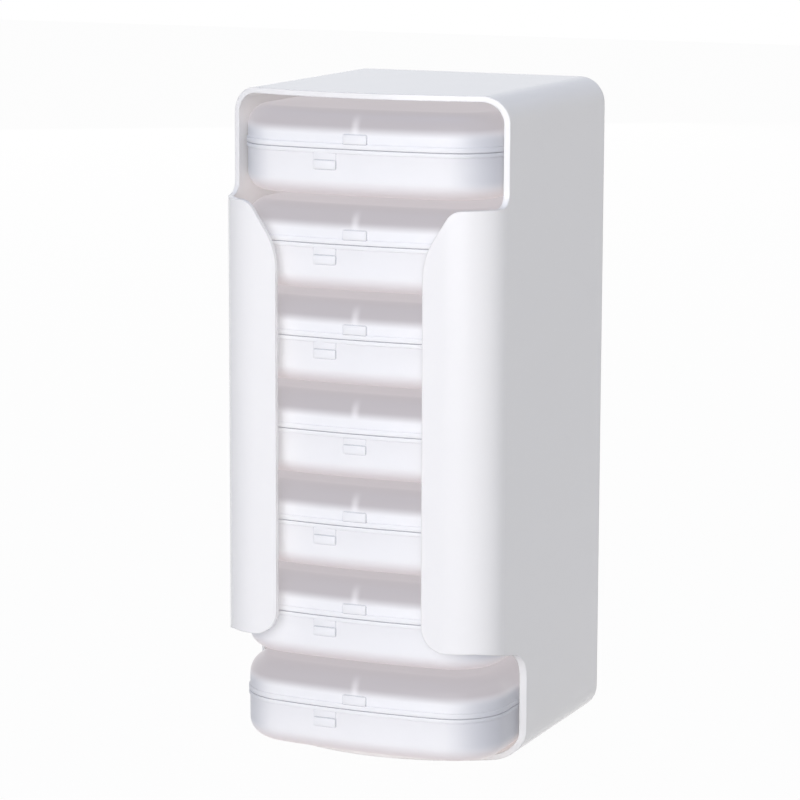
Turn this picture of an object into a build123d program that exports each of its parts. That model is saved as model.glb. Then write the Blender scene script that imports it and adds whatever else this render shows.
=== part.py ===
from build123d import *
from math import asin, cos, pi, sin, sqrt
import os

# Weekly pill tower: an open-fronted white case that holds seven lidded day boxes in a stack.
# Millimetres, +Z up, front towards -Y, origin at the middle of the case's underside.

# Case: a rounded-rectangle tube whose axis runs front to back
CASE_WIDTH = 88.0
CASE_DEPTH = 93.2
CASE_HEIGHT = 200.0
CASE_WALL = 1.7
CASE_CORNER_R = 8.0

# The side walls curl round the front as two flaps with a finger gap between them
FLAP_CORNER_R = 14.0
FLAP_GAP = 46.8
FLAP_TOP_CLEAR = 0.8
FLAP_BOTTOM_ROOM = 8.45
FLAP_SHOULDER_X = 32.4
FLAP_SHOULDER_DROP = 13.9
FLAP_SHOULDER_R = 5.5
FLAP_THROAT_R = 20.0
FLAP_TOE_R = 7.5

# Loading opening at the top and pulling opening at the bottom
ROOF_SETBACK = 15.5
ROOF_BOW = 8.4
ROOF_INNER_R = 4.0
FLOOR_SETBACK = 32.6
FLOOR_BOW = 17.6
FLAP_HEEL_DROP = 6.2
FLAP_HEEL_R = 8.0

# Back panel, clipped into the rear of the tube
PANEL_T = 1.8
PANEL_RECESS = 0.5
PANEL_PLAY = 0.15
PANEL_LIP_T = 1.3
PANEL_LIP_DEPTH = 4.0
CLIP_LENGTH = 13.0
CLIP_HEIGHT = 1.2
CLIP_REACH = 0.6
CLIP_SPACING = 110.0

# Day boxes: bowed front, pillow-rounded edges, rim bands at the split line.
# Seven boxes repeat, so their curves are drawn in chords.
BOX_COUNT = 7
HEAD_GAP = 2.1
BOX_FLAP_ROOM = 4.7
BOX_REAR_ROOM = 0.35
BOX_SIDE_PLAY = 0.55
BOX_BOW_R = 246.0
BOX_CORNER_R = 16.5
BAND_PROUD = 0.4
SEAM_GAP = 0.25
STACK_GAP = 0.45
FRONT_CHORDS = 4
REAR_CHORDS = 2
BOW_CHORDS = 4
OUTER_CHORDS = 3
INNER_CHORDS = 2

# Tray
TRAY_HEIGHT_SHARE = 0.535
TRAY_WALL = 1.3
TRAY_EDGE_R = 5.5
TRAY_BAND = 1.3
FOOT_HEIGHT = 0.9
FOOT_INSET = 11.4
DIVIDER_T = 1.5
DIVIDER_PLAY = 0.45
DIVIDER_SETBACK = 4.6
DIVIDER_EDGE_R = 4.0

# Lid
LID_WALL = 1.2
LID_EDGE_R = 6.3
LID_CROWN_RISE = 1.1
LID_CROWN_RUN = 8.0
LID_BAND = 1.45
TAB_WIDTH = 7.4
TAB_HEIGHT = 2.7
TAB_PROUD = 0.55

# Catch bar on the tray front, with the thin tongue above it
CATCH_X = -9.7
CATCH_WIDTH = 7.1
CATCH_DROP = 3.4
CATCH_HEIGHT = 2.6
CATCH_PROUD = 0.55
TONGUE_PROUD = 0.22
CENTRE_CATCH_BOX = 4

# Hinge along the rear edge of each box
PIN_R = 0.8
PIN_RUN = 0.05
KNUCKLE_R = 1.9
KNUCKLE_SIDES = 8
KNUCKLE_GAP = 0.45
LID_KNUCKLE = 24.0
TRAY_KNUCKLE = 11.0

# Overrun of every cutting shape past the face that it cuts
OVER = 2.0

FRONT = -CASE_DEPTH / 2
REAR = CASE_DEPTH / 2
HALF_W = CASE_WIDTH / 2
INNER_HALF_W = HALF_W - CASE_WALL
PANEL_INNER = REAR - PANEL_RECESS - PANEL_T
PIN_Y = PANEL_INNER - BOX_REAR_ROOM - KNUCKLE_R
BOX_FRONT = FRONT + BOX_FLAP_ROOM
BOX_REAR = PIN_Y - KNUCKLE_R - KNUCKLE_GAP - BAND_PROUD
BOX_HALF_W = INNER_HALF_W - BOX_SIDE_PLAY - BAND_PROUD
BOX_PITCH = (CASE_HEIGHT - 2 * CASE_WALL - HEAD_GAP + STACK_GAP) / BOX_COUNT
TRAY_HEIGHT = BOX_PITCH * TRAY_HEIGHT_SHARE
LID_BASE = TRAY_HEIGHT + SEAM_GAP
LID_TOP = BOX_PITCH - STACK_GAP
PIN_Z = TRAY_HEIGHT + SEAM_GAP / 2
FLAP_TOP = CASE_WALL + (BOX_COUNT - 1) * BOX_PITCH - FLAP_TOP_CLEAR
FLAP_BOTTOM = CASE_WALL + BOX_PITCH + FLAP_BOTTOM_ROOM


def rising(face, low, high):
    """A plan outline drawn straight up from one level to another."""
    return Pos(0, 0, low) * extrude(face, high - low, dir=(0, 0, 1))


def block(x0, x1, y0, y1, z0, z1):
    size = Box(x1 - x0, y1 - y0, z1 - z0)
    return Pos((x0 + x1) / 2, (y0 + y1) / 2, (z0 + z1) / 2) * size


# Case


def tube(inset, front, rear):
    """The case's front-view outline, drawn from front to rear."""
    width = CASE_WIDTH - 2 * inset
    height = CASE_HEIGHT - 2 * inset
    loop = RectangleRounded(width, height, CASE_CORNER_R - inset)
    drawn = extrude(loop, rear - front, dir=(0, 0, 1))
    return Pos(0, rear, CASE_HEIGHT / 2) * Rot(90, 0, 0) * drawn


def nose(inset, rear):
    """The case's plan outline with its two rounded front corners."""
    half = HALF_W - inset
    front = FRONT + inset
    face = make_face(Polyline((-half, front), (half, front), (half, rear), (-half, rear), close=True))
    return rising(fillet(face.vertices().sort_by(Axis.Y)[:2], FLAP_CORNER_R - inset), 0, CASE_HEIGHT)


def ahead_of_bow(setback, bow):
    """Plan area in front of a bowed edge that meets the case's sides at the setback."""
    radius = (HALF_W ** 2 + bow ** 2) / (2 * bow)
    middle = FRONT + setback - bow
    reach = HALF_W + OVER
    side = middle + radius - sqrt(radius ** 2 - reach ** 2)
    edge = ThreePointArc((-reach, side), (0, middle), (reach, side))
    sides = Polyline((reach, side), (reach, FRONT - OVER), (-reach, FRONT - OVER), (-reach, side))
    return make_face([edge, sides])


def bowed_edge(solid, level):
    """The curved edge of a cutting shape that lies nearest to a level."""
    curved = [e for e in solid.edges() if e.geom_type != GeomType.LINE]
    return min(curved, key=lambda e: abs(e.center().Z - level))


def flap_outline(side):
    inner = side * FLAP_GAP / 2
    outer = side * (HALF_W + OVER)
    throat = (inner, FLAP_TOP - FLAP_SHOULDER_DROP)
    shoulder = (side * FLAP_SHOULDER_X, FLAP_TOP)
    toe = (inner, FLAP_BOTTOM)
    face = make_face(Polyline(toe, throat, shoulder, (outer, FLAP_TOP), (outer, FLAP_BOTTOM), close=True))
    for point, radius in ((throat, FLAP_THROAT_R), (shoulder, FLAP_SHOULDER_R), (toe, FLAP_TOE_R)):
        spot = Vector(*point)
        corner = min(face.vertices(), key=lambda v: (Vector(v.X, v.Y) - spot).length)
        face = fillet(corner, radius)
    return face


def make_case():
    hollow = tube(CASE_WALL, FRONT + CASE_WALL, REAR + OVER) & nose(CASE_WALL, REAR + OVER)
    shell = (tube(0, FRONT, REAR) & nose(0, REAR)) - hollow

    # Loading opening under the bowed roof edge
    top = rising(ahead_of_bow(ROOF_SETBACK, ROOF_BOW), FLAP_TOP, CASE_HEIGHT + OVER)
    shell -= fillet(bowed_edge(top, FLAP_TOP), ROOF_INNER_R)

    # Pulling opening: its upper edge is level at the flaps, then falls to the rear, over a bowed floor
    low = rising(ahead_of_bow(FLOOR_SETBACK, FLOOR_BOW), -OVER, FLAP_BOTTOM)
    level = 2 * CASE_WALL
    fall = FLAP_HEEL_DROP / (FLOOR_SETBACK - level)
    above = FLAP_BOTTOM + CASE_DEPTH
    start = (FRONT + level, FLAP_BOTTOM)
    end = (REAR, FLAP_BOTTOM - fall * (CASE_DEPTH - level))
    wedge = Plane.YZ * make_face(Polyline(start, end, (REAR, above), (FRONT + level, above), close=True))
    low -= extrude(wedge, HALF_W + 2 * OVER, both=True)
    shell -= fillet(bowed_edge(low, FLAP_BOTTOM - FLAP_HEEL_DROP), FLAP_HEEL_R)

    # Gap between the flaps
    gap = Pos(0, (FLAP_TOP + FLAP_BOTTOM) / 2) * Rectangle(CASE_WIDTH, FLAP_TOP - FLAP_BOTTOM)
    gap = gap - flap_outline(1) - flap_outline(-1)
    depth = FLAP_CORNER_R / 2
    shell -= Pos(0, FRONT + depth, 0) * Rot(90, 0, 0) * extrude(gap, depth + OVER)

    # Pockets that the back panel's clips snap into
    for clip in clips(CLIP_REACH + PANEL_PLAY, PANEL_PLAY):
        shell -= clip
    return shell


def clips(reach, play):
    """Four clip bars inside the rear ends of the side walls, with play for their pockets."""
    depth = PANEL_INNER - PANEL_LIP_DEPTH / 2
    inner = INNER_HALF_W - PANEL_PLAY - PANEL_LIP_T / 2
    half_y = CLIP_HEIGHT / 2 + play
    half_z = CLIP_LENGTH / 2 + play
    bars = []
    for side in (-1, 1):
        x0, x1 = sorted((side * inner, side * (INNER_HALF_W + reach)))
        for place in (-1, 1):
            middle = CASE_HEIGHT / 2 + place * CLIP_SPACING / 2
            bars.append(block(x0, x1, depth - half_y, depth + half_y, middle - half_z, middle + half_z))
    return bars


def make_back_panel():
    inset = CASE_WALL + PANEL_PLAY
    rim = PANEL_INNER - PANEL_LIP_DEPTH
    panel = tube(inset, rim, PANEL_INNER + PANEL_T)
    panel -= tube(inset + PANEL_LIP_T, rim - OVER, PANEL_INNER)
    for clip in clips(CLIP_REACH, 0):
        panel += clip
    return panel


# Day boxes


def outline(inset):
    """Box outline in plan, inset from the walls: bowed front, straight sides, rounded corners."""
    radius = BOX_CORNER_R - inset
    across = BOX_HALF_W - BOX_CORNER_R
    bow_y = BOX_FRONT + BOX_BOW_R
    tilt = asin(across / (BOX_BOW_R - BOX_CORNER_R))
    front_y = bow_y - (BOX_BOW_R - BOX_CORNER_R) * cos(tilt)
    rear_y = BOX_REAR - BOX_CORNER_R
    right = []
    for i in range(1, BOW_CHORDS // 2):
        turn = tilt * 2 * i / BOW_CHORDS
        right.append(((BOX_BOW_R - inset) * sin(turn), bow_y - (BOX_BOW_R - inset) * cos(turn)))
    for i in range(FRONT_CHORDS + 1):
        turn = tilt + (pi / 2 - tilt) * i / FRONT_CHORDS
        right.append((across + radius * sin(turn), front_y - radius * cos(turn)))
    for i in range(REAR_CHORDS + 1):
        turn = pi / 2 * i / REAR_CHORDS
        right.append((across + radius * cos(turn), rear_y + radius * sin(turn)))
    left = [(-x, y) for x, y in reversed(right)]
    return [(0, BOX_FRONT + inset), *right, *left]


def plate(inset, low, high):
    """A box outline drawn straight up from one level to another."""
    return rising(make_face(Polyline(*outline(inset), close=True)), low, high)


def pillow(sections):
    """A flat-faceted solid through box outlines, each given by its inset and its level."""
    rings = [[(x, y, level) for x, y in outline(inset)] for inset, level in sections]
    loops = [rings[0], rings[-1]]
    for low, high in zip(rings, rings[1:]):
        loops += [(low[i - 1], low[i], high[i], high[i - 1]) for i in range(len(low))]
    return Solid(Shell([make_face(Polyline(*loop, close=True)) for loop in loops]))


def quarter(radius, chords):
    """Insets and rises along a rounded edge, from its flat side to its wall."""
    turns = [pi / 2 * i / chords for i in range(chords + 1)]
    return [(radius * (1 - sin(t)), radius * (1 - cos(t))) for t in turns]


def bowl(inset, floor, top, radius, chords):
    """The tray's form: rounded below, straight to its top."""
    return pillow([(inset + i, floor + rise) for i, rise in quarter(radius, chords)] + [(inset, top)])


def dome(inset, base, top, radius, chords):
    """The lid's form: straight from its base, then rounded up to a low crown."""
    shoulder = top - LID_CROWN_RISE
    edge = [(inset + i, shoulder - rise) for i, rise in reversed(quarter(radius, chords))]
    return pillow([(inset, base)] + edge + [(inset + radius + LID_CROWN_RUN, top)])


def knuckle(middle, length):
    """A faceted hinge barrel round the pin line."""
    loop = RegularPolygon(KNUCKLE_R, KNUCKLE_SIDES, major_radius=False, rotation=180 / KNUCKLE_SIDES)
    return Pos(middle, PIN_Y, PIN_Z) * Rot(0, 90, 0) * extrude(loop, length / 2, both=True)


def pin_rod(length, radius):
    return Pos(0, PIN_Y, PIN_Z) * Rot(0, 90, 0) * Cylinder(radius, length)


def tray_solid(catch_x):
    body = bowl(0, FOOT_HEIGHT, TRAY_HEIGHT, TRAY_EDGE_R, OUTER_CHORDS)
    body += plate(-BAND_PROUD, TRAY_HEIGHT - TRAY_BAND, TRAY_HEIGHT)
    body += plate(FOOT_INSET, 0, FOOT_HEIGHT + TRAY_WALL / 2)

    # Tongue and catch bar on the front
    face_y = BOX_FRONT + TRAY_WALL / 2
    bar_top = TRAY_HEIGHT - CATCH_DROP
    left = catch_x - CATCH_WIDTH / 2
    right = catch_x + CATCH_WIDTH / 2
    body += block(left, right, BOX_FRONT - TONGUE_PROUD, face_y, bar_top, TRAY_HEIGHT - TRAY_BAND)
    body += block(left, right, BOX_FRONT - CATCH_PROUD, face_y, bar_top - CATCH_HEIGHT, bar_top)

    # Hollow, with a divider from front to rear that follows the inside of the lid
    floor = FOOT_HEIGHT + TRAY_WALL
    body -= bowl(TRAY_WALL, floor, TRAY_HEIGHT + OVER, TRAY_EDGE_R - TRAY_WALL, INNER_CHORDS)
    sheet = block(-DIVIDER_T / 2, DIVIDER_T / 2, BOX_FRONT, BOX_REAR, 0, LID_TOP)
    sunk = TRAY_WALL / 2
    well = bowl(sunk, floor - sunk, TRAY_HEIGHT, TRAY_EDGE_R - sunk, INNER_CHORDS)
    top = LID_TOP - LID_WALL - DIVIDER_PLAY
    reach = dome(DIVIDER_SETBACK, floor + TRAY_EDGE_R, top, DIVIDER_EDGE_R, INNER_CHORDS)
    body += sheet & (well + reach)

    # Outer knuckles, bored to grip the pin
    for side in (-1, 1):
        middle = side * (LID_KNUCKLE / 2 + KNUCKLE_GAP + TRAY_KNUCKLE / 2)
        x0 = middle - TRAY_KNUCKLE / 2
        x1 = middle + TRAY_KNUCKLE / 2
        body += knuckle(middle, TRAY_KNUCKLE)
        body += block(x0, x1, BOX_REAR - TRAY_WALL / 2, PIN_Y, PIN_Z - KNUCKLE_R, TRAY_HEIGHT)
    return body - pin_rod(CASE_WIDTH, PIN_R)


def lid_solid(tabbed):
    body = dome(0, LID_BASE, LID_TOP, LID_EDGE_R, OUTER_CHORDS)
    body += plate(-BAND_PROUD, LID_BASE, LID_BASE + LID_BAND)
    if tabbed:
        low = LID_BASE + LID_BAND
        half = TAB_WIDTH / 2
        body += block(-half, half, BOX_FRONT - TAB_PROUD, BOX_FRONT + LID_WALL / 2, low, low + TAB_HEIGHT)
    half = LID_KNUCKLE / 2
    body += knuckle(0, LID_KNUCKLE)
    body += block(-half, half, BOX_REAR - LID_WALL / 2, PIN_Y, LID_BASE, PIN_Z + KNUCKLE_R)
    body -= dome(LID_WALL, LID_BASE - OVER, LID_TOP - LID_WALL, LID_EDGE_R - LID_WALL, INNER_CHORDS)
    return body - pin_rod(CASE_WIDTH, PIN_R + PIN_RUN)


os.makedirs("parts", exist_ok=True)

export_step(make_case(), "parts/case_shell.step")
export_step(make_back_panel(), "parts/back_panel.step")

side_tray = tray_solid(CATCH_X)
centre_tray = tray_solid(0)
tab_lid = lid_solid(True)
plain_lid = lid_solid(False)
pin = pin_rod(LID_KNUCKLE + 2 * (KNUCKLE_GAP + TRAY_KNUCKLE), PIN_R)

for number in range(1, BOX_COUNT + 1):
    stand = Pos(0, 0, CASE_WALL + (BOX_COUNT - number) * BOX_PITCH)
    centred = number == CENTRE_CATCH_BOX
    export_step(stand * (centre_tray if centred else side_tray), f"parts/tray_{number}.step")
    export_step(stand * (plain_lid if centred else tab_lid), f"parts/lid_{number}.step")
    export_step(stand * pin, f"parts/hinge_pin_{number}.step")
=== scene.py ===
# %% [markdown]
# # Weekly pill tower
# A white moulded case holds seven frosted day boxes in a stack. The CAD part gives the case, the back panel and the hinge
# pins, and this script dresses them. The trays and lids are made again here as smooth meshes, because their CAD solids
# have chorded curves.

# %% Load the frame
import math

import bmesh
import bpy
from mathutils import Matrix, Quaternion, Vector


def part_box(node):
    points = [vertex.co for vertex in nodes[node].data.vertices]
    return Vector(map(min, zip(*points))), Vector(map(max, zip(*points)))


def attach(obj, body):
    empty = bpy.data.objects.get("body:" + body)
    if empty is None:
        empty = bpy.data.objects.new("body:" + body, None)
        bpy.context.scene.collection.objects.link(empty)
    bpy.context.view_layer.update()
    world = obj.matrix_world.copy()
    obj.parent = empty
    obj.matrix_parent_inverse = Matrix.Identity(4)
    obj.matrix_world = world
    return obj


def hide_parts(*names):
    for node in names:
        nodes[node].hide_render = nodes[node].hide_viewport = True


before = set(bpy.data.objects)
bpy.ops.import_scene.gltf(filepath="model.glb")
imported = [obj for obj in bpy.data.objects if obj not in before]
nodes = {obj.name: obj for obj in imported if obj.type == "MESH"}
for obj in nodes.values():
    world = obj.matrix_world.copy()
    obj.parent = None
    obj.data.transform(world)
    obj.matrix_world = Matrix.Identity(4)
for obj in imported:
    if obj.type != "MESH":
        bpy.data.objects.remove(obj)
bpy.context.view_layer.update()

MM = 0.001

# %% [markdown]
# ## The box's outline
# Every level of a tray or lid is the same outline, drawn in by an inset: a bowed front, straight sides and four round
# corners. A drawn curve could give one ring, but a formula gives a ring at any inset, so it is written as a formula. Sizes
# are millimetres, as in the CAD.

# %% Box outline
BOX_FRONT = -41.9
BOX_REAR = 39.3
BOX_HALF_W = 41.35
BOX_MIDDLE = (BOX_FRONT + BOX_REAR) / 2
BOW_R = 246.0
CORNER_R = 16.5
FRONT_STEPS = 12
REAR_STEPS = 6
BOW_STEPS = 5


def outline(inset):
    """Right half from the front middle to the rear, then mirrored to the left."""
    radius = CORNER_R - inset
    across = BOX_HALF_W - CORNER_R
    bow_y = BOX_FRONT + BOW_R
    tilt = math.asin(across / (BOW_R - CORNER_R))
    front_y = bow_y - (BOW_R - CORNER_R) * math.cos(tilt)
    rear_y = BOX_REAR - CORNER_R
    right = []
    for i in range(1, BOW_STEPS):
        turn = tilt * i / BOW_STEPS
        right.append(((BOW_R - inset) * math.sin(turn), bow_y - (BOW_R - inset) * math.cos(turn)))
    for i in range(FRONT_STEPS + 1):
        turn = tilt + (math.pi / 2 - tilt) * i / FRONT_STEPS
        right.append((across + radius * math.sin(turn), front_y - radius * math.cos(turn)))
    for i in range(REAR_STEPS + 1):
        turn = math.pi / 2 * i / REAR_STEPS
        right.append((across + radius * math.cos(turn), rear_y + radius * math.sin(turn)))
    left = [(-x, y) for x, y in reversed(right)]
    return [(0.0, BOX_FRONT + inset)] + right + left


print("outline points:", len(outline(0)))

# %% [markdown]
# ## From a profile to a skin
# A tray or lid is one closed skin. Its profile lists insets and levels from the outside round the rim to the inside. Each
# entry becomes a ring, and neighbouring rings are bridged with quads. A subdivided block could give the same form, but
# rings put each edge exactly where the CAD has it. Edges that should stay crisp get a pair of rings close together, so
# smooth shading turns them into small round edges.

# %% Rings and skins
EDGE = 0.14


def skin(bm, rings):
    """Bridges rings of points into a skin. A ring with one point closes it."""
    made = [[bm.verts.new((x * MM, y * MM, z * MM)) for x, y, z in ring] for ring in rings]
    for low, high in zip(made, made[1:]):
        count = max(len(low), len(high))
        for i in range(count):
            j = (i + 1) % count
            if len(high) == 1:
                bm.faces.new((low[i], low[j], high[0]))
            elif len(low) == 1:
                bm.faces.new((low[0], high[j], high[i]))
            else:
                bm.faces.new((low[i], low[j], high[j], high[i]))


def level(inset, z):
    return [(x, y, z) for x, y in outline(inset)]


def crown(inset, z, rise, steps=6):
    """Rings from an inset outline to the middle of the box, along a low dome."""
    rings = []
    for i in range(1, steps):
        u = i / steps
        ring = [(x * (1 - u), BOX_MIDDLE + (y - BOX_MIDDLE) * (1 - u)) for x, y in outline(inset)]
        rings.append([(x, y, z + rise * (1 - (1 - u) ** 2)) for x, y in ring])
    return rings + [[(0.0, BOX_MIDDLE, z + rise)]]


def quarter(radius, steps=9):
    """A quarter circle as pairs of inset and rise, from the flat to the wall."""
    turns = [math.pi / 2 * i / steps for i in range(steps + 1)]
    return [(radius * (1 - math.sin(t)), radius * (1 - math.cos(t))) for t in turns]


# %% [markdown]
# ## Bands, blocks and knuckles
# Both rims carry a thin band that stands proud of the wall. The catch bars and thumb tabs are small blocks with round
# edges, and the hinge knuckles are short tubes. A bevel modifier would round the blocks too; here the bevel is cut into
# the mesh, so the mesh itself has it.

# %% Small forms
BAND_PROUD = 0.4
BEAD_R = 0.32
SHARP_ANGLE = math.radians(50)


def bead(low, high, steps=3):
    """The rim band: it stands proud of the wall, with both its edges rounded."""
    turns = [math.pi / 2 * i / steps for i in range(steps + 1)]
    arc = [(BEAD_R * (1 - math.cos(t)), BEAD_R * (1 - math.sin(t))) for t in turns]
    rings = [level(back - BAND_PROUD, low + rise) for rise, back in arc]
    return rings + [level(back - BAND_PROUD, high - rise) for rise, back in reversed(arc)]


def rounded_block(bm, low, high, bevel):
    """A small moulded block with round edges."""
    low, high = Vector(low) * MM, Vector(high) * MM
    made = bmesh.ops.create_cube(bm, size=1.0)["verts"]
    for v in made:
        v.co = Vector(((low[k] + high[k]) / 2 + v.co[k] * (high[k] - low[k]) for k in range(3)))
    edges = {e for v in made for e in v.link_edges}
    bmesh.ops.bevel(bm, geom=list(edges), offset=bevel * MM, segments=2, affect="EDGES", profile=0.5)


def barrel(bm, x0, x1, y, z, outer, inner, steps=20):
    """A hinge knuckle: a short tube along X."""
    turns = [2 * math.pi * i / steps for i in range(steps)]
    rings = []
    for x, r in ((x0, inner), (x0, outer), (x1, outer), (x1, inner), (x0, inner)):
        rings.append([(x, y + r * math.cos(t), z + r * math.sin(t)) for t in turns])
    skin(bm, rings)


def finish_mesh(bm, name):
    bmesh.ops.remove_doubles(bm, verts=bm.verts, dist=1e-7)
    bmesh.ops.recalc_face_normals(bm, faces=bm.faces)
    mesh = bpy.data.meshes.new(name)
    bm.to_mesh(mesh)
    bm.free()
    mesh.shade_smooth()
    mesh.set_sharp_from_angle(angle=SHARP_ANGLE)
    print(name, len(mesh.polygons), "faces")
    return mesh


# %% [markdown]
# ## Divider
# A sheet from front to rear splits each box into two compartments and rises into the lid. It is one flat outline given a
# thickness. Above the tray it is set back and keeps clear of the lid's inside.

# %% Divider
TRAY_TOP = 14.9
TRAY_WALL = 1.3
TRAY_R = 5.5
FOOT = 0.9
LID_TOP = 27.4
LID_RISE = 1.1
DIVIDER_HALF = 0.75
DIVIDER_SETBACK = 4.6
DIVIDER_R = 4.0
DIVIDER_ROOT = 0.7
DIVIDER_CLEAR = 1.65
DIVIDER_INSET = 1.0
DIVIDER_STEP = 0.5


def divider(bm):
    floor = FOOT + DIVIDER_ROOT
    top = LID_TOP - LID_RISE - DIVIDER_CLEAR
    edge = [(TRAY_R, floor), (DIVIDER_INSET, floor + TRAY_R)]
    edge += [(DIVIDER_INSET, TRAY_TOP - DIVIDER_STEP), (DIVIDER_SETBACK, TRAY_TOP)]
    edge += [(DIVIDER_SETBACK + inset, top - rise) for inset, rise in reversed(quarter(DIVIDER_R, 7))]
    front = [(BOX_FRONT + inset, z) for inset, z in edge]
    rear = [(BOX_REAR - inset, z) for inset, z in reversed(edge)]
    loop = front + [(BOX_MIDDLE, top + LID_RISE)] + rear
    sides = [[bm.verts.new((x * MM, y * MM, z * MM)) for y, z in loop] for x in (-DIVIDER_HALF, DIVIDER_HALF)]
    for i in range(len(loop)):
        bm.faces.new((sides[0][i - 1], sides[0][i], sides[1][i], sides[1][i - 1]))
    bm.faces.new(sides[0])
    bm.faces.new(sides[1])


print("divider top:", LID_TOP - DIVIDER_CLEAR, "mm")

# %% [markdown]
# ## Tray
# The tray is a deep dish on a low foot. A thin band runs round its rim, and a bar with a tongue above it sits on the
# front. On most boxes the bar is left of the middle, and on one it is in the middle, so the mesh is made twice and shared
# by the seven trays.

# %% Tray mesh
TRAY_BAND = 1.3
FOOT_INSET = 11.4
CATCH_HALF = 3.55
CATCH_LEFT = -9.7
BAR_Z = (8.9, 11.5)
TONGUE_Z = (11.3, 13.8)
TONGUE_PROUD = 0.08
BLOCK_PROUD = 0.55
BLOCK_ROOT = 0.6
BLOCK_BEVEL = 0.25
TONGUE_BEVEL = 0.05
PIN_Y = 42.05
PIN_Z = 15.025
PIN_R = 0.83
KNUCKLE_R = 1.9
TRAY_KNUCKLES = (12.45, 23.45)
LEAF_BEVEL = 0.08


def tray_rings():
    """Under the foot, up the outside, over the rim and down to the inside floor."""
    under = level(FOOT_INSET + EDGE, 0.0)
    rings = list(reversed(crown(FOOT_INSET + EDGE, 0.0, 0.0, 2))) + [under, level(FOOT_INSET, EDGE)]
    rings += [level(FOOT_INSET, FOOT - EDGE), level(FOOT_INSET - EDGE, FOOT)]
    rings += [level(inset, FOOT + rise) for inset, rise in quarter(TRAY_R)]
    band = TRAY_TOP - TRAY_BAND
    rings += [level(0, band - EDGE)] + bead(band, TRAY_TOP)
    rings += [level(TRAY_WALL - EDGE, TRAY_TOP), level(TRAY_WALL, TRAY_TOP - EDGE)]
    floor = FOOT + TRAY_WALL
    inner = quarter(TRAY_R - TRAY_WALL, 6)
    rings += [level(TRAY_WALL + inset, floor + rise) for inset, rise in reversed(inner)]
    return rings + crown(TRAY_R, floor, 0.0, 2)


def tray_mesh(name, catch_x):
    bm = bmesh.new()
    skin(bm, tray_rings())
    left, right = catch_x - CATCH_HALF, catch_x + CATCH_HALF
    for proud, (low, high), bevel in ((TONGUE_PROUD, TONGUE_Z, TONGUE_BEVEL), (BLOCK_PROUD, BAR_Z, BLOCK_BEVEL)):
        rounded_block(bm, (left, BOX_FRONT - proud, low), (right, BOX_FRONT + BLOCK_ROOT, high), bevel)
    for side in (-1, 1):
        x0, x1 = sorted(side * x for x in TRAY_KNUCKLES)
        barrel(bm, x0, x1, PIN_Y, PIN_Z, KNUCKLE_R, PIN_R)
        leaf_low, leaf_high = (x0, BOX_REAR - BLOCK_ROOT, PIN_Z - KNUCKLE_R), (x1, PIN_Y - PIN_R, TRAY_TOP)
        rounded_block(bm, leaf_low, leaf_high, LEAF_BEVEL)
    divider(bm)
    return finish_mesh(bm, name)


side_tray = tray_mesh("tray_side_catch", CATCH_LEFT)
centre_tray = tray_mesh("tray_centre_catch", 0.0)

# %% [markdown]
# ## Lid
# The lid rises straight from its band, then rolls over into a low crown. Six of the seven have a thumb tab at the front,
# so again there are two meshes. The same ring tools make it, from the crown down to the rim and back up the inside.

# %% Lid mesh
LID_BASE = 14.97
LID_WALL = 1.2
LID_R = 6.3
LID_BAND = 1.6
TAB_HALF = 3.7
TAB_RISE = 2.7
TAB_SINK = 0.1
LID_KNUCKLE = 12.0


def lid_rings():
    shoulder = LID_TOP - LID_RISE
    band = LID_BASE + LID_BAND
    rings = list(reversed(crown(LID_R, shoulder, LID_RISE)))
    rings += [level(inset, shoulder - rise) for inset, rise in quarter(LID_R)]
    rings += [level(0, band + EDGE)] + list(reversed(bead(LID_BASE, band)))
    rings += [level(LID_WALL - EDGE, LID_BASE), level(LID_WALL, LID_BASE + EDGE)]
    inner = quarter(LID_R - LID_WALL, 6)
    rings += [level(LID_WALL + inset, shoulder - LID_WALL - rise) for inset, rise in reversed(inner)]
    return rings + crown(LID_R, shoulder - LID_WALL, LID_RISE)


def lid_mesh(name, tabbed):
    bm = bmesh.new()
    skin(bm, lid_rings())
    if tabbed:
        band = LID_BASE + LID_BAND
        tab_low = (-TAB_HALF, BOX_FRONT - BLOCK_PROUD, band - TAB_SINK)
        rounded_block(bm, tab_low, (TAB_HALF, BOX_FRONT + BLOCK_ROOT, band + TAB_RISE), BLOCK_BEVEL)
    barrel(bm, -LID_KNUCKLE, LID_KNUCKLE, PIN_Y, PIN_Z, KNUCKLE_R, PIN_R)
    leaf_low = (-LID_KNUCKLE, BOX_REAR - BLOCK_ROOT, LID_BASE)
    rounded_block(bm, leaf_low, (LID_KNUCKLE, PIN_Y, PIN_Z + KNUCKLE_R), LEAF_BEVEL)
    return finish_mesh(bm, name)


tab_lid = lid_mesh("lid_with_tab", True)
plain_lid = lid_mesh("lid_plain", False)

# %% [markdown]
# ## One skin for every plastic
# A moulded skin is never one flat colour. One node group gives a slow drift in colour and roughness with a fine grain for
# the bump, and each material uses it with its own numbers. A group is made once and can be mended in one place, which is
# why it isn't copied into each material.

# %% Moulded skin group
GROUP_INPUTS = (
    ("Colour A", "NodeSocketColor", (0.8, 0.8, 0.8, 1)),
    ("Colour B", "NodeSocketColor", (0.8, 0.8, 0.8, 1)),
    ("Drift Scale", "NodeSocketFloat", 20.0),
    ("Grain Scale", "NodeSocketFloat", 900.0),
    ("Roughness Low", "NodeSocketFloat", 0.2),
    ("Roughness High", "NodeSocketFloat", 0.3),
)
GROUP_OUTPUTS = (("Colour", "NodeSocketColor"), ("Roughness", "NodeSocketFloat"), ("Grain", "NodeSocketFloat"))


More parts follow.
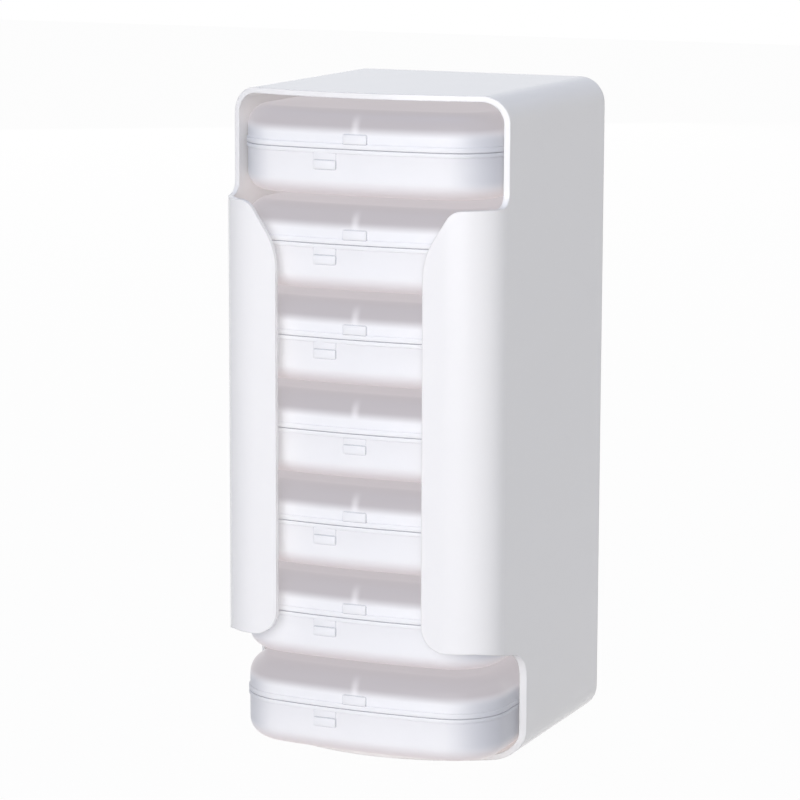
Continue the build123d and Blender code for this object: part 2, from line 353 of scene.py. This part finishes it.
def moulded_group():
    group = bpy.data.node_groups.new("Moulded skin", "ShaderNodeTree")
    face = group.interface
    for label, kind, value in GROUP_INPUTS:
        face.new_socket(label, in_out="INPUT", socket_type=kind).default_value = value
    for label, kind in GROUP_OUTPUTS:
        face.new_socket(label, in_out="OUTPUT", socket_type=kind)
    n, link = group.nodes, group.links.new
    given, out = n.new("NodeGroupInput"), n.new("NodeGroupOutput")
    place = n.new("ShaderNodeTexCoord")
    drift, grain = n.new("ShaderNodeTexNoise"), n.new("ShaderNodeTexNoise")
    drift.inputs["Detail"].default_value = 2.0
    grain.inputs["Detail"].default_value = 3.0
    mix, rough = n.new("ShaderNodeMix"), n.new("ShaderNodeMapRange")
    mix.data_type = "RGBA"
    for noise, scale in ((drift, "Drift Scale"), (grain, "Grain Scale")):
        link(place.outputs["Object"], noise.inputs["Vector"])
        link(given.outputs[scale], noise.inputs["Scale"])
    link(drift.outputs["Fac"], mix.inputs["Factor"])
    link(given.outputs["Colour A"], mix.inputs[6])
    link(given.outputs["Colour B"], mix.inputs[7])
    link(drift.outputs["Fac"], rough.inputs["Value"])
    link(given.outputs["Roughness Low"], rough.inputs["To Min"])
    link(given.outputs["Roughness High"], rough.inputs["To Max"])
    link(mix.outputs[2], out.inputs["Colour"])
    link(rough.outputs["Result"], out.inputs["Roughness"])
    link(grain.outputs["Fac"], out.inputs["Grain"])
    return group


moulded = moulded_group()
print("group:", moulded.name, [item.name for item in moulded.interface.items_tree])

# %% Plastic maker
GRAIN_DEPTH = 0.00005


def plastic(name, low, high, drift, grain, rough, bump, **values):
    """A Principled material fed by the moulded group. Further values go straight to the shader's sockets."""
    mat = bpy.data.materials.new(name)
    mat.use_nodes = True
    n, link = mat.node_tree.nodes, mat.node_tree.links.new
    shader = n["Principled BSDF"]
    skin_node, height = n.new("ShaderNodeGroup"), n.new("ShaderNodeBump")
    skin_node.node_tree = moulded
    given = {
        "Colour A": (*low, 1), "Colour B": (*high, 1), "Drift Scale": drift, "Grain Scale": grain,
        "Roughness Low": rough[0], "Roughness High": rough[1],
    }
    for socket, value in given.items():
        skin_node.inputs[socket].default_value = value
    height.inputs["Strength"].default_value = bump
    height.inputs["Distance"].default_value = GRAIN_DEPTH
    link(skin_node.outputs["Colour"], shader.inputs["Base Color"])
    link(skin_node.outputs["Roughness"], shader.inputs["Roughness"])
    link(skin_node.outputs["Grain"], height.inputs["Height"])
    link(height.outputs["Normal"], shader.inputs["Normal"])
    for socket, value in values.items():
        shader.inputs[socket.replace("_", " ")].default_value = value
    print("material:", name)
    return mat, height


# %% [markdown]
# ## Case and pins
# The case is glossy white. On the real moulding its rims have small round edges. Cutting them into the CAD mesh would
# change it, so a bevel node rounds only its normals there. A faint glow over the whole case is painted light, standing
# for the light that white plastic lets through and lifting the case's shaded inside. The hinge pins are plain steel
# wire.

# %% Case and pins
CASE_EDGE_R = 0.0005

# The emission here is painted light: a faint warm glow over the whole case.
case_white, case_bump = plastic(
    "Gloss white case", (0.90, 0.89, 0.875), (0.92, 0.91, 0.895), 14.0, 260.0, (0.16, 0.22), 0.04,
    IOR=1.5, Emission_Color=(1.0, 0.96, 0.93, 1), Emission_Strength=0.055,
)
soften = case_white.node_tree.nodes.new("ShaderNodeBevel")
soften.inputs["Radius"].default_value = CASE_EDGE_R
case_white.node_tree.links.new(soften.outputs["Normal"], case_bump.inputs["Normal"])

pin_steel, _ = plastic(
    "Hinge pin steel", (0.58, 0.58, 0.6), (0.68, 0.68, 0.69), 60.0, 700.0, (0.25, 0.4), 0.2, Metallic=1.0
)

# %% [markdown]
# ## Frosted boxes
# Frosted plastic scatters light in its wall. Real scattering is slow to render, so light and shade are painted with
# soft masks in the box's own coordinates, which stay in place from every side. The lid's top, in the shade of the box
# above, and the tray's bottom get painted shade and a warm painted glow in place of the light that comes through the
# walls. The ends get painted shade too. An occlusion node paints shade as a fine line in closed seams and creases. A
# soft bright bar is a painted highlight where the divider's edge stands behind the lid's shoulder, and every wall has a
# faint painted glow.

# %% Mask tools


def soft_step(n, link, value, low, high, top=1.0):
    """A soft step of a value from 0 at low to top at high."""
    step = n.new("ShaderNodeMapRange")
    step.interpolation_type = "SMOOTHSTEP"
    step.inputs["From Min"].default_value = low
    step.inputs["From Max"].default_value = high
    step.inputs["To Max"].default_value = top
    link(value, step.inputs["Value"])
    return step.outputs["Result"]


def tint(n, link, start, factor, colour):
    """Mixes a fixed colour over a colour socket, or over a fixed colour."""
    mix = n.new("ShaderNodeMix")
    mix.data_type = "RGBA"
    if isinstance(start, tuple):
        mix.inputs[6].default_value = start
    else:
        link(start, mix.inputs[6])
    mix.inputs[7].default_value = colour
    link(factor, mix.inputs["Factor"])
    return mix.outputs[2]


def both(n, link, one, other):
    """The product of two masks."""
    product = n.new("ShaderNodeMath")
    product.operation = "MULTIPLY"
    link(one, product.inputs[0])
    link(other, product.inputs[1])
    return product.outputs[0]


# %% Frosted boxes
# Each pair gives the place in metres where a mask is 0 and where it is full.
LID_SHOULDER = (0.0186, 0.0219)
TRAY_BOTTOM = (0.0062, 0.0014)
ABOVE_BOTTOM = (0.0012, 0.0070)
BOX_END = (0.0265, 0.0405)
HIGHLIGHT_BAR_ACROSS = (0.0019, 0.0)
HIGHLIGHT_BAR_UP = (0.0258, 0.0212)
END_SHADE_SHARE = 0.42
HIGHLIGHT_BAR_SHARE = 0.42
CREASE_SHADE_REACH = 0.0006
CREASE_SHADE_STEP = (0.94, 0.5)
CREASE_SHADE_SHARE = 0.75
# Base colours below paint shade, and glow colours paint light: a faint glow and a bright highlight bar.
PAINTED_SHADE_LID_TOP, PAINTED_SHADE_TRAY_BOTTOM = (0.12, 0.115, 0.13, 1), (0.45, 0.44, 0.46, 1)
PAINTED_SHADE_BOX_END, PAINTED_SHADE_CREASE = (0.24, 0.27, 0.36, 1), (0.33, 0.34, 0.39, 1)
PAINTED_GLOW_WALL, PAINTED_GLOW_LID_TOP = (0.07, 0.068, 0.07, 1), (0.41, 0.385, 0.397, 1)
PAINTED_GLOW_TRAY_BOTTOM, PAINTED_HIGHLIGHT_BAR = (0.335, 0.295, 0.287, 1), (0.85, 0.84, 0.86, 1)

# Emission at full strength here shows the painted glow whose colour is set below.
frosted, _ = plastic(
    "Frosted clear boxes", (0.93, 0.93, 0.93), (0.96, 0.96, 0.96), 30.0, 1500.0, (0.3, 0.36), 0.08,
    IOR=1.45, Transmission_Weight=0.12, Emission_Strength=1.0, Specular_IOR_Level=0.2,
)


# Paints light and shade into a box material: masks in the box's own coordinates darken the base colour and drive a
# glow.
def paint_frost_shade_and_light(mat):
    n, link = mat.node_tree.nodes, mat.node_tree.links.new
    shader = n["Principled BSDF"]
    place, split = n.new("ShaderNodeTexCoord"), n.new("ShaderNodeSeparateXYZ")
    link(place.outputs["Object"], split.inputs[0])
    height, off_middle = split.outputs["Z"], n.new("ShaderNodeMath")
    off_middle.operation = "ABSOLUTE"
    link(split.outputs["X"], off_middle.inputs[0])
    # The lid's top, in the shade of the box above, and the tray's bottom get painted shade and a painted warm glow.
    top = soft_step(n, link, height, *LID_SHOULDER)
    bottom = soft_step(n, link, height, *TRAY_BOTTOM)
    below_top = soft_step(n, link, height, *reversed(LID_SHOULDER))
    walls = both(n, link, below_top, soft_step(n, link, height, *ABOVE_BOTTOM))
    # Painted shade on the box ends, darker and bluer towards both ends.
    end = both(n, link, walls, soft_step(n, link, off_middle.outputs[0], *BOX_END, END_SHADE_SHARE))
    # Painted shade: an occlusion node darkens closed seams and creases into a fine line.
    crease = n.new("ShaderNodeAmbientOcclusion")
    crease.samples = 8
    crease.inputs["Distance"].default_value = CREASE_SHADE_REACH
    crease_shade = soft_step(n, link, crease.outputs["AO"], *CREASE_SHADE_STEP, CREASE_SHADE_SHARE)

    # The base colour takes the painted shade of the lid's top, the tray's bottom, the ends and the creases.
    body = shader.inputs["Base Color"].links[0].from_socket
    for mask, colour in ((top, PAINTED_SHADE_LID_TOP), (bottom, PAINTED_SHADE_TRAY_BOTTOM), (end, PAINTED_SHADE_BOX_END), (crease_shade, PAINTED_SHADE_CREASE)):
        body = tint(n, link, body, mask, colour)
    link(body, shader.inputs["Base Color"])

    # Painted highlight: a soft bright bar in the middle of the lid's shoulder, over the divider's edge.
    across = soft_step(n, link, off_middle.outputs[0], *HIGHLIGHT_BAR_ACROSS, HIGHLIGHT_BAR_SHARE)
    bar = both(n, link, across, soft_step(n, link, height, *HIGHLIGHT_BAR_UP))
    # Painted light: a faint glow on every wall, stronger on the lid's top and the tray's bottom, plus the bright bar.
    glow = PAINTED_GLOW_WALL
    for mask, colour in ((top, PAINTED_GLOW_LID_TOP), (bottom, PAINTED_GLOW_TRAY_BOTTOM), (both(n, link, bar, top), PAINTED_HIGHLIGHT_BAR)):
        glow = tint(n, link, glow, mask, colour)
    link(glow, shader.inputs["Emission Color"])


paint_frost_shade_and_light(frosted)
print("frosted nodes:", len(frosted.node_tree.nodes))

# %% [markdown]
# ## Dressing the stack
# CAD nodes keep their meshes and get the materials. Each smooth tray or lid stands for its CAD node and rides on the same
# body, so it moves with the CAD joints. The seven boxes share four meshes, as the real ones share their moulds.

# %% Dress the stack
DAYS = range(1, 8)
CENTRED_BOX = 4


def dress(obj, mat):
    obj.data.materials.clear()
    obj.data.materials.append(mat)


for name in ("case_shell", "back_panel"):
    dress(nodes[name], case_white)
for number in DAYS:
    dress(nodes[f"hinge_pin_{number}"], pin_steel)

for mesh in (side_tray, centre_tray, tab_lid, plain_lid):
    mesh.materials.append(frosted)

for number in DAYS:
    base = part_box(f"tray_{number}")[0].z
    centred = number == CENTRED_BOX
    for kind, mesh, body in (
        ("tray", centre_tray if centred else side_tray, f"box_{number}"),
        ("lid", plain_lid if centred else tab_lid, f"lid_{number}"),
    ):
        obj = bpy.data.objects.new(f"smooth_{kind}_{number}", mesh)
        bpy.context.scene.collection.objects.link(obj)
        obj.location = (0, 0, base)
        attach(obj, body)
        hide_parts(f"{kind}_{number}")

# %% [markdown]
# ## Floor and ground
# The photo is a plain catalogue shot on white. A lamp strong enough to burn the floor white would burn the tower too. So
# the floor and the world are white only to the rays that show them, and give the tower a calmer light, which is darker
# and bluer on the left.

# %% Rays that show a surface


def seen_rays(n, link):
    """1 for rays that show a surface to the camera: straight, in a gloss or through a clear wall. 0 for light."""
    path = n.new("ShaderNodeLightPath")
    total = path.outputs["Is Camera Ray"]
    for kind in ("Is Glossy Ray", "Is Transmission Ray"):
        add = n.new("ShaderNodeMath")
        link(total, add.inputs[0])
        link(path.outputs[kind], add.inputs[1])
        add.use_clamp = True
        total = add.outputs[0]
    return total


def white_to_camera(mat, share):
    """Mixes a plain white glow over a material, for the rays that show it."""
    n, link = mat.node_tree.nodes, mat.node_tree.links.new
    glow, mix = n.new("ShaderNodeEmission"), n.new("ShaderNodeMixShader")
    scale = n.new("ShaderNodeMath")
    scale.operation = "MULTIPLY"
    scale.inputs[1].default_value = share
    link(seen_rays(n, link), scale.inputs[0])
    link(scale.outputs[0], mix.inputs["Fac"])
    link(n["Principled BSDF"].outputs["BSDF"], mix.inputs[1])
    link(glow.outputs["Emission"], mix.inputs[2])
    link(mix.outputs["Shader"], n["Material Output"].inputs["Surface"])


# %% Floor
FLOOR_HALF = 3
FLOOR_DROP = 0.0002
FLOOR_WHITE = 0.97

corners = [(-1, -1), (1, -1), (1, 1), (-1, 1)]
floor_mesh = bpy.data.meshes.new("floor")
floor_mesh.from_pydata([(x * FLOOR_HALF, y * FLOOR_HALF, 0) for x, y in corners], [], [(0, 1, 2, 3)])
floor = bpy.data.objects.new("floor", floor_mesh)
bpy.context.scene.collection.objects.link(floor)
floor.location.z = -FLOOR_DROP
floor_white, _ = plastic("Pale floor", (0.66, 0.65, 0.64), (0.70, 0.69, 0.68), 3.0, 80.0, (0.6, 0.7), 0.05)
white_to_camera(floor_white, FLOOR_WHITE)
floor_mesh.materials.append(floor_white)
print("floor:", 2 * FLOOR_HALF, "m wide")

# %% World
LEFT_SHADE = (0.17, 0.18, 0.21, 1)
RIGHT_FILL = (0.31, 0.315, 0.335, 1)
SHADE_STEP = (-0.75, 0.15)

world = bpy.data.worlds.new("Studio")
bpy.context.scene.world = world
world.use_nodes = True
sky, wire = world.node_tree.nodes, world.node_tree.links.new
turn, across = sky.new("ShaderNodeTexCoord"), sky.new("ShaderNodeSeparateXYZ")
wire(turn.outputs["Generated"], across.inputs[0])
fill = tint(sky, wire, LEFT_SHADE, soft_step(sky, wire, across.outputs["X"], *SHADE_STEP), RIGHT_FILL)
wire(tint(sky, wire, fill, seen_rays(sky, wire), (1, 1, 1, 1)), sky["Background"].inputs["Color"])
print("world nodes:", len(sky))

# %% [markdown]
# ## Lamps
# A broad soft light from the front gives the flaps and box fronts their even white. A weak blue light from above cools the
# roof, and one from behind keeps the rear white. Discs are used because their soft edges leave no hard shadow.

# %% Lamps


def softbox(name, place, aim, size, watts, colour, in_gloss=True):
    """A disc of light. One that is out of the gloss lights a surface and isn't mirrored in it."""
    lamp = bpy.data.lights.new(name, "AREA")
    lamp.shape = "DISK"
    lamp.size = size
    lamp.energy = watts
    lamp.color = colour
    obj = bpy.data.objects.new(name, lamp)
    bpy.context.scene.collection.objects.link(obj)
    obj.location = place
    obj.rotation_mode = "QUATERNION"
    obj.rotation_quaternion = (Vector(aim) - Vector(place)).to_track_quat("-Z", "Y")
    obj.visible_glossy = in_gloss
    print("lamp:", name, watts, "W")


softbox("front", (0.35, -1.77, 0.3), (0, 0, 0.1), 1.8, 31.4, (0.968, 0.964, 1.0))
softbox("top", (-0.1, -0.1, 1.4), (0, 0, 0.2), 1.0, 2.2, (0.12, 0.38, 1.0))
softbox("rear", (-1.0, 1.6, 0.5), (0, 0, 0.1), 1.5, 12.0, (1.0, 0.98, 0.96), in_gloss=False)

# %% [markdown]
# ## Camera
# A long lens, 24 degrees to the right of the front and 10 degrees above, as fitted to the photo. A long lens keeps the
# tower's edges nearly parallel, as they are there.

# %% Camera
CAMERA_PLACE = (0.4055, -0.9349, 0.2821)
CAMERA_AIM = (0.00817, -0.0275, 0.10865)
CAMERA_ROLL = math.radians(0.19)

cam_data = bpy.data.cameras.new("photo camera")
cam_data.sensor_width = 36.0
cam_data.lens = 153.0
cam_data.clip_start, cam_data.clip_end = 0.05, 20.0
camera = bpy.data.objects.new("photo camera", cam_data)
bpy.context.scene.collection.objects.link(camera)
camera.location = CAMERA_PLACE
camera.rotation_mode = "QUATERNION"
look = (Vector(CAMERA_AIM) - Vector(CAMERA_PLACE)).to_track_quat("-Z", "Y")
camera.rotation_quaternion = look @ Quaternion(Vector((0, 0, 1)), CAMERA_ROLL)
bpy.context.scene.camera = camera
bpy.context.scene.view_settings.view_transform = "Standard"
print("camera:", cam_data.lens, "mm lens")
